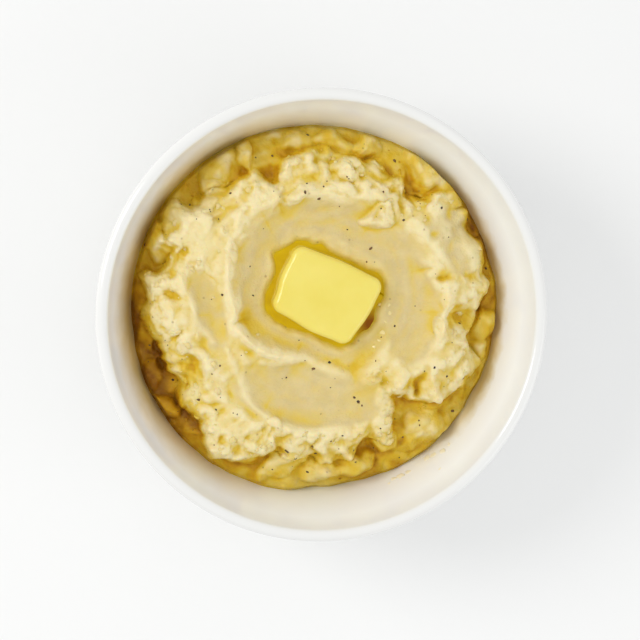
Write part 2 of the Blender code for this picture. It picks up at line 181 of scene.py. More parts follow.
# Small dents: centre x, centre y, radius, rise.
DENTS = (
    (-19, 51, 3.5, -2.5),
    (5, 52, 2.5, -1.2),
    (39.5, 35, 1.6, -1.0),
    (41.5, 29, 1.6, -1.0),
    (45.5, 14.5, 3.0, -4.0),
    (53, -3.5, 4.0, -3.5),
    (34, 49.5, 3.0, -2.5),
    (35.5, -27, 4.0, -3.0),
    (40, -24.5, 3.0, -2.0),
    (-46.5, -18.5, 3.2, -3.0),
    (-43, -9, 3.0, -1.5),
    (-13.7, -49.5, 2.2, -2.5),
    (32, -48.5, 2.5, -2.0),
)

# Torn clumps left on the smoothed places: centre x, centre y, half sizes, turn, rise.
CLUMPS = (
    (21.8, 34.6, 5.6, 4.4, 20, 2.2),
    (26.0, 36.4, 4.2, 3.2, 60, 1.2),
    (-8, 43, 5.0, 3.6, 20, 1.6),
    (-33, 24, 4.5, 3.0, 80, 1.2),
    (21, -24, 4.0, 2.6, 40, 1.2),
    (44, -6, 4.5, 3.0, 80, 1.2),
    (-17, -41, 4.0, 2.6, -20, 1.0),
)

LUMP_SIZES = ((12.0, 2.0), (6.5, 1.4))
CUT_TEAR_SIZE = 13.0
CUT_TEAR_REACH = 1.6
TEAR_SIZE = 9.0
TEAR_REACH = 2.4
CREASE_ROUNDING = 0.08
TOP_ROUGHNESS = 0.35
SPOONED_ROUGHNESS = 0.15
ROUGH_RUN = 18.0
LOW_ROUGHNESS = 0.5
LOW_ROUGH_RUN = 4.0
SPOON_EDGE = 1.12
SPOON_EDGE_RUN = 0.3
SMOOTH_AT_WALL = 0.03
ROLL_OFF = 0.02
NOISE_SEED = 11
NOISE_CELLS = 64

# ---------------------------------------------------------------------------------------
# Detail that only the looks have, in millimetres.
# ---------------------------------------------------------------------------------------
BOWL_SIDES = 192
MASH_RINGS = 176
UNDER_POINTS = 48
FINE_TEAR_SIZE = 4.2
FINE_TEAR_REACH = 0.9
LEDGE_STEP = 3.4
LEDGE_SHARE = 0.55
FINE_LUMPS = ((4.4, 0.65), (2.3, 0.35), (1.3, 0.12))
GRAIN_SIZE = 1.2
GRAIN_RISE = 0.08
SLABS = 150
SLAB_SIZES = (2.2, 5.6)
SLAB_RISES = (0.5, 1.5)
SLAB_REACH = 66.0
DRAG_CENTRE = (4.0, 8.0)
DRAG_RADIUS = 40.0
DRAG_STRETCH = 3.5
DRAG_SIZE = 3.0
DRAG_RISE = 0.6
SHORE_BANK = 1.0
SHORE_RUN = 5.0
SPACE_CELLS = 40
# Heights of the mound's flank and of the low layer, where the masks paint shade and the fine relief
# is softer.
FLANK_TOP = 50.0
FLANK_BOTTOM = 43.5
DEEP_TOP = 44.5
DEEP_BOTTOM = 36.5
LOW_SOFTNESS = 0.65
CLUMP_ROUGHNESS = 0.8
# How strongly the dents take painted shade.
PIT_DEPTH = -0.07
MOTTLES = ((6.0, 0.14), (2.6, 0.08))
# Dip of the low layer at which its painted shade is darkest.
DARKEST_DIP = -8.0

# Painted shade on the mash beside the wall, where it lies in shadow: direction and spread in degrees,
# depth.
WALL_SHADES = ((180, 12, 0.5), (152, 7, 0.4), (24, 12, 0.2), (356, 30, 0.22))

# Where the torn mash is palest, in the colour of the painted crest highlight: centre x, centre y,
# radius, strength.
PALE_PATCHES = ((-50, 20, 26, 0.8), (-30, -40, 14, 0.5), (30, -20, 10, 0.5), (-6, 50, 10, 0.5))

# Where the painted shade in the creases is lightened: centre x, centre y, radius, strength.
LIGHT_CREASES = (
    (-43, 36, 14, 0.65),
    (0, -66, 14, 0.7),
    (56, -15, 10, 0.5),
    (-51.8, -26.6, 3.4, 0.5),
)

# Where melted butter has stained the mash: centre x, centre y, radius, strength.
STAINS = (
    (19, -27, 6.0, 0.45),
    (17, -15, 5.0, 0.55),
    (23, -8, 4.0, 0.5),
    (-12, 1, 5.0, 0.3),
    (-11, -5, 4.0, 0.6),
    (-17, -2, 3.5, 0.5),
    (-17, 24, 3.5, 0.5),
)


# ---------------------------------------------------------------------------------------
# Shape of the bowl and the mash: the same functions as the solids.
# ---------------------------------------------------------------------------------------
def radial_wall(height, inset=0.0):
    """Radius of the inner wall's straight part at a height, moved square off the wall."""
    start_radius = LIP_CENTRE[0] + (LIP + inset) * INWARD[0]
    start_height = LIP_CENTRE[1] + (LIP + inset) * INWARD[1]
    return start_radius + (height - start_height) * math.tan(WALL_LEAN)


def bend_centre():
    """Centre, as radius and height, of the bend between the bowl's wall and its floor."""
    height = FLOOR_HEIGHT + FLOOR_BEND
    touch = height - FLOOR_BEND * INWARD[1]
    return radial_wall(touch) + FLOOR_BEND * INWARD[0], height


def arc(centre, radius, start, end, steps):
    """Points, as radius and height, on an arc between two angles measured from straight down."""
    angles = np.linspace(start, end, steps + 1)
    return [(centre[0] + radius * math.sin(a), centre[1] - radius * math.cos(a)) for a in angles]


def run(start, end, steps):
    """Points between two others, without the two themselves."""
    shares = np.linspace(0, 1, steps + 1)[1:-1]
    return [tuple(np.add(np.multiply(start, 1 - s), np.multiply(end, s))) for s in shares]


def bowl_profile():
    """The bowl's section from the middle of its floor, over the lip, to the middle below."""
    centre = bend_centre()
    wall_turn = math.pi / 2 - WALL_LEAN
    inner = arc(centre, FLOOR_BEND, 0, wall_turn, 20)
    lip = arc(LIP_CENTRE, LIP, wall_turn + math.pi, wall_turn, 18)
    outer_radius = FLOOR_BEND + WALL
    foot_turn = math.asin((FOOT_OUTER - centre[0]) / outer_radius)
    outer = arc(centre, outer_radius, wall_turn, foot_turn, 20)
    ceiling = FLOOR_HEIGHT - WALL
    foot_middle = FOOT_ROUNDING * 1.1
    foot_out = arc((FOOT_OUTER - foot_middle, foot_middle), foot_middle, math.pi / 2, 0, 5)
    foot_in = arc((FOOT_INNER + foot_middle, foot_middle), foot_middle, 0, -math.pi / 2, 5)
    ceiling_bend = [(FOOT_INNER, ceiling - 0.5), (FOOT_INNER - 0.5, ceiling)]
    wall_in = run(inner[-1], lip[0], 12)
    wall_out = run(lip[-1], outer[0], 12)
    sides = inner + wall_in + lip + wall_out + outer
    return [(0.0, FLOOR_HEIGHT)] + sides + foot_out + foot_in + ceiling_bend + [(0.0, ceiling)]


def lathe(profile, sides):
    """Rings of points for a section turned round +Z; a point on the axis stays single."""
    rings = []
    for radius, height in profile:
        count = sides if radius > 0 else 1
        angles = np.arange(count) * 2 * math.pi / count
        rings.append([(radius * math.cos(a), radius * math.sin(a), height) for a in angles])
    return rings


def pat_sides():
    """Start, direction and outward normal of each straight side of the pat."""
    sides = []
    for number, start in enumerate(PAT_CORNERS):
        end = PAT_CORNERS[(number + 1) % len(PAT_CORNERS)]
        along = np.subtract(end, start) / math.dist(start, end)
        sides.append((np.array(start), along, np.array((along[1], -along[0]))))
    return sides


def pat_distance(x, y):
    """Distance outside the pat's sides, negative inside them."""
    distances = [(x - s[0]) * n[0] + (y - s[1]) * n[1] for s, _, n in pat_sides()]
    return np.max(distances, axis=0)


def pat_clearance(x, y):
    """Distance outside the pat's rounded outline, negative inside it."""
    squeezed = np.maximum(pat_distance(x, y) + PAT_CORNER_RADIUS, 0)
    nearest = np.full(np.shape(x), np.inf)
    corners = inset_corners()
    for number, corner in enumerate(corners):
        step = np.subtract(corners[(number + 1) % len(corners)], corner)
        share = ((x - corner[0]) * step[0] + (y - corner[1]) * step[1]) / (step @ step)
        share = np.clip(share, 0, 1)
        away = np.hypot(x - corner[0] - share * step[0], y - corner[1] - share * step[1])
        nearest = np.minimum(nearest, away)
    return np.where(squeezed > 0, nearest, 0) - PAT_CORNER_RADIUS


def inset_corners():
    """Centres of the pat's rounded corners."""
    sides = pat_sides()
    centres = []
    for number, (corner, along, _) in enumerate(sides):
        along_before = sides[number - 1][1]
        turn = math.acos(np.dot(along_before, along))
        inward = (along - along_before) / np.linalg.norm(along - along_before)
        centres.append(corner + inward * PAT_CORNER_RADIUS / math.cos(turn / 2))
    return centres


def pat_loop(offset, corner_steps=14, side_steps=14):
    """The pat's rounded outline moved out, by a length or by a function of the place."""
    sides = pat_sides()
    loop = []

    def place(centre, radius, angle):
        facing = np.array((math.cos(angle), math.sin(angle)))
        edge = centre + radius * facing
        loop.append(edge + facing * (offset(*edge) if callable(offset) else offset))

    for number, (corner, along, normal) in enumerate(sides):
        _, along_before, normal_before = sides[number - 1]
        turn = math.acos(np.dot(along_before, along))
        inward = (along - along_before) / np.linalg.norm(along - along_before)
        centre = corner + inward * PAT_CORNER_RADIUS / math.cos(turn / 2)
        start = math.atan2(normal_before[1], normal_before[0])
        for step in range(corner_steps + 1):
            place(centre, PAT_CORNER_RADIUS, start + turn * step / corner_steps)
        tangent = PAT_CORNER_RADIUS * math.tan(turn / 2)
        length = math.dist(corner, PAT_CORNERS[(number + 1) % len(PAT_CORNERS)])
        for step in range(1, side_steps):
            share = step / side_steps
            bow = PAT_SIDE_BOW * math.sin(math.pi * share) ** 2
            reach = tangent + (length - 2 * tangent) * share
            place(corner + along * reach, bow, math.atan2(normal[1], normal[0]))
    return loop


def smooth_step(share):
    share = np.clip(share, 0.0, 1.0)
    return share * share * (3 - 2 * share)


def ellipse_radius(x, y, centre_x, centre_y, half_length, half_width, turn):
    """Distance from an ellipse's centre, which is 1 on the ellipse itself."""
    cosine, sine = math.cos(math.radians(turn)), math.sin(math.radians(turn))
    along = ((x - centre_x) * cosine + (y - centre_y) * sine) / half_length
    across = ((y - centre_y) * cosine - (x - centre_x) * sine) / half_width
    return np.hypot(along, across)


def noise(x, y, size, seed):
    """Smooth noise between about -1 and 1 whose lumps are about one size across."""
    turns = np.random.default_rng(seed).uniform(0, 2 * math.pi, (NOISE_CELLS, NOISE_CELLS))
    column, row = np.floor(x / size).astype(int), np.floor(y / size).astype(int)
    u, v = x / size - column, y / size - row
    total = np.zeros(np.shape(x))
    for right in (0, 1):
        for up in (0, 1):
            turn = turns[(row + up) % NOISE_CELLS, (column + right) % NOISE_CELLS]
            ramp = np.cos(turn) * (u - right) + np.sin(turn) * (v - up)
            total += ramp * smooth_step(1 - abs(u - right)) * smooth_step(1 - abs(v - up))
    return 1.7 * total


def lumpy(x, y, size, seed):
    """Noise of round lumps with creases between them, from about -0.4 to 1."""
    return 2.0 * np.hypot(noise(x, y, size, seed), CREASE_ROUNDING) - 0.6


def contact_height(angle):
    """Height at which the mash meets the bowl's wall, in a given direction."""
    height = CONTACT_HEIGHT + lobes_reach(np.degrees(angle), CONTACT_DIPS)
    for count, phase, rise in CONTACT_WAVES:
        height = height + rise * np.sin(count * angle + phase)
    x, y = MOUND_REACH * np.cos(angle), MOUND_REACH * np.sin(angle)
    return height + CONTACT_NOISE * noise(x, y, CONTACT_NOISE_SIZE, NOISE_SEED + 25)


def low_layer(x, y):
    """Height of the low layer, which runs down to meet the wall."""
    angle = np.arctan2(y, x)
    contact = contact_height(angle)
    level = LOW_LEVEL + lobes_reach(np.degrees(angle), LOW_DIPS)
    reach = np.hypot(x, y) / radial_wall(contact)
    return contact + (level - contact) * (1 - np.clip(reach, 0, 1) ** LOW_EDGE)


def shoulder(share):
    """Rise of a round shoulder, steep where it starts and level where it ends."""
    return np.sqrt(1 - (1 - np.clip(share, 0, 1)) ** 2)


def low_lumps(x, y, ground):
    """The low layer with its own lumps on it."""
    layers = [ground]
    for *ellipse, top in LOW_LUMPS:
        inside = 1 - ellipse_radius(x, y, *ellipse)
        layers.append(ground + (top - ground) * shoulder(inside))
    return BLEND * np.logaddexp.reduce(np.array(layers) / BLEND)


def lobes_reach(direction, lobes):
    """Sum of the lobes, each its reach in its own direction and fading to both sides."""
    reach = np.zeros(np.shape(direction))
    for middle, spread, length in lobes:
        off = (direction - middle + 180) % 360 - 180
        reach = reach + length * np.exp(-((off / spread) ** 2))
    return reach


def mound_inside(x, y):
    """Distance inside the mound's lobed outline, negative outside it."""
    direction = np.degrees(np.arctan2(y, x))
    return MOUND_REACH + lobes_reach(direction, MOUND_LOBES) - np.hypot(x, y)


def mound_share(inside):
    """How much of its full height the mound has, from 0 at its outline to 1."""
    slope = np.sin(math.pi / 2 * np.clip(inside / SLOPE_RUN, 0, 1))
    return STEEP_SHARE * shoulder(inside / STEEP_RUN) + (1 - STEEP_SHARE) * slope


def cut_by_spoon(x, y, height):
    """The heap with the spoon's hollows taken out of it."""
    for *ellipse, floor, rim in SPOON_CUTS:
        hollow = floor + (rim - floor) * ellipse_radius(x, y, *ellipse) ** SPOON_POWER
        height = -BLEND * np.logaddexp(-height / BLEND, -hollow / BLEND)
    return height


def curve_points(handles, steps):
    """Points on a cubic Bezier curve."""
    t = np.linspace(0, 1, steps + 1)[:, None]
    a, b, c, d = np.array(handles, dtype=float)
    return a * (1 - t) ** 3 + 3 * b * t * (1 - t) ** 2 + 3 * c * t**2 * (1 - t) + d * t**3


def ridge_height(x, y, handles, height, left_run, right_run):
    """Height that a ridge adds, fading to nothing at both ends of its curve."""
    points = curve_points(handles, RIDGE_STEPS)
    highest = np.zeros(np.shape(x))
    for number in range(RIDGE_STEPS):
        start, step = points[number], points[number + 1] - points[number]
        share = ((x - start[0]) * step[0] + (y - start[1]) * step[1]) / (step @ step)
        share = np.clip(share, 0, 1)
        off_x = x - start[0] - share * step[0]
        off_y = y - start[1] - share * step[1]
        run_off = np.where(step[0] * off_y - step[1] * off_x > 0, left_run, right_run)
        fade = np.sqrt(np.sin(np.pi * (number + share) / RIDGE_STEPS).clip(0, 1))
        rise = height * fade * np.exp(-((np.hypot(off_x, off_y) / run_off) ** RIDGE_POWER))
        highest = np.maximum(highest, rise)
    return highest


def spooned_share(x, y):
    """1 where the spoon smoothed the mash, 0 elsewhere."""
    smoothed = np.zeros(np.shape(x))
    for *ellipse, _, _ in SPOON_CUTS:
        within = smooth_step((SPOON_EDGE - ellipse_radius(x, y, *ellipse)) / SPOON_EDGE_RUN)
        smoothed = np.maximum(smoothed, within)
    return smoothed


def torn_share(x, y, inside):
    """How torn the mash is: least where the spoon smoothed it, most down the mound's side."""
    share = 1 - (1 - TOP_ROUGHNESS) * smooth_step(inside / ROUGH_RUN)
    share = share * (1 - (1 - LOW_ROUGHNESS) * smooth_step(-inside / LOW_ROUGH_RUN))
    share = share * (1 - (1 - SPOONED_ROUGHNESS) * spooned_share(x, y))
    reach = np.hypot(x, y) / radial_wall(CONTACT_HEIGHT)
    return share * smooth_step((1 - reach) / SMOOTH_AT_WALL)


def torn(x, y, size, reach, seed):
    """The same places moved a little to and fro, so that edges drawn there are ragged."""
    return x + reach * noise(x, y, size, seed), y + reach * noise(x, y, size, seed + 10)


def pool_width(x, y):
    """Width of the melted butter beside the pat's edge at a place on it."""
    middle = np.mean(PAT_CORNERS, axis=0)
    direction = np.degrees(np.arctan2(y - middle[1], x - middle[0]))
    return POOL_WIDTH + lobes_reach(direction, POOL_LOBES)


def shore_distance(x, y):
    """Distance outside the melted butter's edge, negative over the pool."""
    wobble = 0.5 * noise(x, y, 3.5, NOISE_SEED + 40)
    return pat_clearance(x, y) - pool_width(x, y) + wobble


def rolled_off(x, y, height):
    """The height brought down to meet the wall without a cliff."""
    contact = contact_height(np.arctan2(y, x))
    reach = np.hypot(x, y) / radial_wall(contact)
    return contact + (height - contact) * smooth_step((1 - reach) / ROLL_OFF)


def mash_height(x, y):
    """Height of the mash's top surface, and how torn it is there."""
    ragged_x, ragged_y = torn(x, y, TEAR_SIZE, TEAR_REACH, NOISE_SEED + 10)
    ragged_x, ragged_y = torn(ragged_x, ragged_y, FINE_TEAR_SIZE, FINE_TEAR_REACH, NOISE_SEED + 30)
    ground = low_layer(x, y)
    low = low_lumps(ragged_x, ragged_y, ground)
    inside = mound_inside(ragged_x, ragged_y)
    height = low + (MOUND_TOP - low) * mound_share(inside)
    uneven_x, uneven_y = torn(x, y, CUT_TEAR_SIZE, CUT_TEAR_REACH, NOISE_SEED + 20)
    height = cut_by_spoon(uneven_x, uneven_y, height)
    for handles, rise, left_run, right_run in RIDGES:
        height = height + ridge_height(uneven_x, uneven_y, handles, rise, left_run, right_run)
    for *ellipse, rise in CLUMPS:
        height = height + rise * shoulder(1 - ellipse_radius(ragged_x, ragged_y, *ellipse))
    for centre_x, centre_y, radius, rise in DENTS:
        off = np.hypot(ragged_x - centre_x, ragged_y - centre_y) / radius
        height = height + rise * np.exp(-(off**2))
    tornness = torn_share(x, y, inside)
    for *ellipse, _ in CLUMPS:
        within = smooth_step(2 - 2 * ellipse_radius(ragged_x, ragged_y, *ellipse))
        tornness = np.maximum(tornness, CLUMP_ROUGHNESS * within)
    for number, (size, rise) in enumerate(LUMP_SIZES):
        height = height + rise * tornness * lumpy(ragged_x, ragged_y, size, NOISE_SEED + number)
    phase = 2 * math.pi * (height / LEDGE_STEP + noise(x, y, 16.0, NOISE_SEED + 5))
    height = height - tornness * LEDGE_SHARE * LEDGE_STEP / (2 * math.pi) * np.sin(phase)
    height = rolled_off(x, y, height)
    well = smooth_step((pat_distance(x, y) - WELL_MARGIN) / WELL_RUN)
    shore = 2 * smooth_step(0.5 + shore_distance(x, y) / SHORE_RUN) - 1
    bank = POOL_TOP - WELL_FLOOR + SHORE_BANK * shore
    height = WELL_FLOOR + bank + (height - WELL_FLOOR - bank) * well
    return height, tornness


def slab_relief(x, y):
    """Rise of the small torn slabs strewn over the mash, each with a steep ragged edge."""
    random = np.random.default_rng(NOISE_SEED + 120)
    ragged_x, ragged_y = torn(x, y, FINE_TEAR_SIZE, FINE_TEAR_REACH, NOISE_SEED + 121)
    highest = np.zeros(np.shape(x))
    for _ in range(SLABS):
        direction = random.uniform(0, 2 * math.pi)
        away = SLAB_REACH * math.sqrt(random.uniform(0.25, 1.0))
        half_length = random.uniform(*SLAB_SIZES)
        half_width = half_length * random.uniform(0.55, 0.9)
        centre = (away * math.cos(direction), away * math.sin(direction))
        turn = math.degrees(direction) + 90 + random.uniform(-50, 50)
        inside = 1 - ellipse_radius(ragged_x, ragged_y, *centre, half_length, half_width, turn)
        rise = random.uniform(*SLAB_RISES) * shoulder(1.6 * inside)
        highest = np.maximum(highest, rise)
    return highest


# ---------------------------------------------------------------------------------------
# Mesh helpers.
# ---------------------------------------------------------------------------------------
def space_noise(points, size, seed):
    """Smooth noise in space, between about -1 and 1, whose lumps are about one size across."""
    lattice = np.random.default_rng(seed).normal(size=(SPACE_CELLS,) * 3 + (3,))
    lattice /= np.linalg.norm(lattice, axis=-1, keepdims=True)
    cell = np.floor(points / size).astype(int)
    local = points / size - cell
    total = np.zeros(len(points))
    for corner in itertools.product((0, 1), repeat=3):
        gradient = lattice[tuple(((cell + corner) % SPACE_CELLS).T)]
        away = local - corner
        total += np.prod(smooth_step(1 - np.abs(away)), axis=1) * np.sum(gradient * away, axis=1)
    return 1.6 * total


def zip_rings(inner, outer):
    """Triangles between two rings of corner numbers, whose counts may differ."""
    faces = []
    i = j = 0
    while i < len(inner) or j < len(outer):
        here, there = inner[i % len(inner)], outer[j % len(outer)]
        if j == len(outer) or (i < len(inner) and (i + 1) * len(outer) <= (j + 1) * len(inner)):
            i += 1
            corners = (here, there, inner[i % len(inner)])
        else:
            j += 1
            corners = (here, there, outer[j % len(outer)])
        if len(set(corners)) == 3:
            faces.append(corners)
    return faces


def ring_numbers(rings):
    """Corner numbers of each ring, counted through all rings."""
    starts = np.cumsum([0] + [len(ring) for ring in rings])
    return [range(starts[k], starts[k + 1]) for k in range(len(rings))]


def loft_faces(rings, closed=False):
    """Triangles through a list of rings, from end to end or round in a loop."""
    numbers = ring_numbers(rings)
    followers = numbers[1:] + numbers[:1] if closed else numbers[1:]
    return [face for pair in zip(numbers, followers) for face in zip_rings(*pair)]


def add_mesh(name, points, faces, material, body="root"):
    """A smooth-shaded piece from points in millimetres, riding on the body."""
    data = bpy.data.meshes.new(name)
    data.from_pydata((np.asarray(points, dtype=float) * MM).tolist(), [], faces)
    data.validate()
    data.shade_smooth()
    data.materials.append(material)
    piece = bpy.data.objects.new(name, data)
    bpy.context.scene.collection.objects.link(piece)
    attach(piece, body)
    return piece


def corner_normals(points, faces):
    """Normals at the corners of a triangle mesh."""
    a, b, c = points[faces[:, 0]], points[faces[:, 1]], points[faces[:, 2]]
    square = np.cross(b - a, c - a)
    normals = np.zeros_like(points)
    for column in range(3):
        for axis in range(3):
            counts = np.bincount(faces[:, column], square[:, axis], len(points))
            normals[:, axis] += counts
    return normals / np.linalg.norm(normals, axis=1, keepdims=True).clip(1e-9)


def edge_pairs(faces):
    """Each edge of a triangle mesh once, as two corner numbers."""
    pairs = np.vstack((faces[:, :2], faces[:, 1:], faces[:, ::2]))
    return np.unique(np.sort(pairs, axis=1), axis=0)


def neighbour_mean(values, edges, weights=None):
    """Weighted mean of the values at each corner's neighbours."""
    start, end = edges.T
    weights = np.ones(len(edges)) if weights is None else weights
    count = len(values)
    total = np.bincount(start, weights * values[end], count)
    total += np.bincount(end, weights * values[start], count)
    share = np.bincount(start, weights, count) + np.bincount(end, weights, count)
    return total / share


def blurred(values, edges, steps):
    """The values smoothed over the mesh."""
    for _ in range(steps):
        values = 0.5 * values + 0.5 * neighbour_mean(values, edges)
    return values


# ---------------------------------------------------------------------------------------
# Materials.
# ---------------------------------------------------------------------------------------
class Surface:
    """A Principled material with short ways to add its nodes."""

    def __init__(self, name, **settings):
        self.material = bpy.data.materials.new(name)
        self.material.use_nodes = True
        self.nodes = self.material.node_tree.nodes
        self.links = self.material.node_tree.links
        self.shader = self.nodes["Principled BSDF"]
        for socket, value in settings.items():
            self.shader.inputs[socket.replace("_", " ")].default_value = value

    def add(self, kind, inputs=(), **properties):
        node = self.nodes.new("ShaderNode" + kind)
        for name, value in properties.items():
            setattr(node, name, value)
        for socket, value in dict(inputs).items():
            self.put(node.inputs[socket], value)
        return node

    def put(self, socket, value):
        if isinstance(value, bpy.types.NodeSocket):
            self.links.new(value, socket)
        else:
            socket.default_value = value

    def place(self):
        """The object's own coordinates, in metres."""
        return self.add("TexCoord").outputs["Object"]

    def noise(self, size, detail=3.0, roughness=0.5, vector=None):
        """Noise whose lumps are about one size across, in metres."""
        inputs = {"Scale": 1.0 / size, "Detail": detail, "Roughness": roughness}
        inputs["Vector"] = vector or self.place()
        return self.add("TexNoise", inputs).outputs["Fac"]

    def between(self, value, low, high, out_low=0.0, out_high=1.0):
        inputs = {"Value": value, "From Min": low, "From Max": high}
        inputs.update({"To Min": out_low, "To Max": out_high})
        return self.add("MapRange", inputs).outputs["Result"]

    def mix(self, share, first, second):
        """Colour between two others."""
        node = self.add("Mix", data_type="RGBA")
        self.put(node.inputs["Factor"], share)
        self.put(node.inputs[6], first if isinstance(first, bpy.types.NodeSocket) else (*first, 1))
        self.put(node.inputs[7], second if isinstance(second, bpy.types.NodeSocket) else (*second, 1))
        return node.outputs[2]

    def multiply(self, first, second):
        node = self.add("Math", operation="MULTIPLY")
        self.put(node.inputs[0], first)
        self.put(node.inputs[1], second)
        return node.outputs[0]

    def colour(self, socket):
        self.links.new(socket, self.shader.inputs["Base Color"])

    def roughness(self, socket):
        self.links.new(socket, self.shader.inputs["Roughness"])

    def bump(self, height, distance, strength=1.0):
        inputs = {"Height": height, "Distance": distance, "Strength": strength}
        before = self.shader.inputs["Normal"]
        if before.is_linked:
            inputs["Normal"] = before.links[0].from_socket
        self.links.new(self.add("Bump", inputs).outputs["Normal"], before)


def glaze():
    """White glaze: painted a shade cooler inside against the mash's yellow bounce light, with painted
    shade and painted golden reflection of the mash just above it, and painted shade on the lip.
    """
    surface = Surface("white_glaze", Roughness=0.12, IOR=1.5, Coat_Weight=0.4, Coat_Roughness=0.05)
    place = surface.place()
    split = surface.add("SeparateXYZ", {"Vector": place})
    cloud = surface.noise(0.018, 2.0, vector=place)
    body = surface.mix(surface.between(cloud, 0.35, 0.65), GLAZE_COOL, GLAZE_WARM)
    ragged = surface.noise(0.006, 3.0, vector=place)
    shift = surface.between(ragged, 0.3, 0.7, -0.0012, 0.0016)
    height = surface.add("Math", operation="ADD")
    surface.put(height.inputs[0], split.outputs["Z"])
    surface.put(height.inputs[1], shift)
    # Painted shade and painted golden reflection of the mash on the inner wall just above it: wide on
    # the side turned from the window light, narrow on the left and right walls.
    wide = surface.between(height.outputs[0], WIDE_WALL_SHADE[0], WIDE_WALL_SHADE[1], 1.0, 0.0)
    aside = surface.add("VectorMath", {0: place}, operation="DOT_PRODUCT")
    aside.inputs[1].default_value = WALL_SHADE_SIDE
    wide = surface.multiply(wide, surface.between(aside.outputs["Value"], 0.0, 0.055, 0.04, 0.85))
    narrow = surface.between(height.outputs[0], NARROW_WALL_SHADE[0], NARROW_WALL_SHADE[1], 1.0, 0.0)
    off_centre = surface.multiply(split.outputs["X"], split.outputs["X"])
    narrow = surface.multiply(narrow, surface.between(off_centre, 0.0012, 0.004, 0.0, 0.8))
    wall_shade = surface.add("Math", {0: wide, 1: narrow}, operation="MAXIMUM").outputs[0]
    flat = surface.add("VectorMath", {0: place}, operation="MULTIPLY")
    flat.inputs[1].default_value = (1.0, 1.0, 0.0)
    radius = surface.add("VectorMath", {0: flat.outputs[0]}, operation="LENGTH").outputs["Value"]
    slope = surface.add("Math", operation="MULTIPLY_ADD")
    surface.put(slope.inputs[0], split.outputs["Z"])
    slope.inputs[1].default_value = -math.tan(WALL_LEAN)
    surface.put(slope.inputs[2], radius)
    inner = surface.between(slope.outputs[0], INNER_WALL + 0.001, INNER_WALL + 0.0025, 1.0, 0.0)
    above = surface.between(split.outputs["Z"], INSIDE_PAINT_FROM, INSIDE_PAINT_FROM + 0.001)
    inside = surface.multiply(inner, above)
    # Inside the wall the glaze is painted a shade cooler than outside, against the yellow light that
    # the mash throws on it.
    body = surface.mix(inside, GLAZE_OUTSIDE, body)
    # Painted shade: the lip is darker, against the light that it catches from all round.
    near_lip = surface.between(split.outputs["Z"], LIP_SHADE_FROM, BOWL_HEIGHT * MM)
    body = surface.mix(near_lip, body, GLAZE_LIP_SHADED)
    wall_shade = surface.multiply(wall_shade, inside)
    surface.colour(surface.mix(wall_shade, body, WALL_SHADE_REFLECTION_COLOUR))
    surface.bump(surface.noise(0.02, 1.0, vector=place), 0.0002, 0.25)
    return surface.material


# The inside colours are painted a shade cooler than the outside one, against the mash's yellow bounce
# light.
GLAZE_COOL = (0.90, 0.925, 0.95)
GLAZE_WARM = (0.91, 0.93, 0.94)
GLAZE_OUTSIDE = (0.90, 0.90, 0.885)
# Painted shade on the lip, and the height where it starts, in metres.
GLAZE_LIP_SHADED = (0.76, 0.757, 0.735)
LIP_SHADE_FROM = 0.052
# Painted shade and painted golden reflection of the mash on the inner wall: its colour, and the
# heights and side where it lies.
WALL_SHADE_REFLECTION_COLOUR = (0.70, 0.52, 0.13)
INSIDE_PAINT_FROM = 0.0285
WIDE_WALL_SHADE = (0.037, 0.055)
NARROW_WALL_SHADE = (0.037, 0.043)
WALL_SHADE_SIDE = (-0.97, 0.24, 0.0)
INNER_WALL = radial_wall(0.0) * MM

# The crest colour is a painted highlight; straw, gold, amber and brown colour the creases and low
# places, partly butter soaked in and partly painted shade.
MASH_CREST_HIGHLIGHT = (0.845, 0.775, 0.53)
MASH_CREAM = (0.735, 0.59, 0.25)
MASH_YELLOW = (0.71, 0.545, 0.17)
MASH_TAN = (0.605, 0.485, 0.24)
MASH_TAN_PALE = (0.67, 0.54, 0.26)
MASH_STRAW = (0.70, 0.515, 0.09)
MASH_GOLD = (0.655, 0.43, 0.02)
MASH_AMBER = (0.54, 0.28, 0.008)
MASH_BROWN = (0.26, 0.10, 0.003)
MASH_SOAKED = (0.66, 0.46, 0.02)
MASH_FLECK = (0.30, 0.19, 0.07)


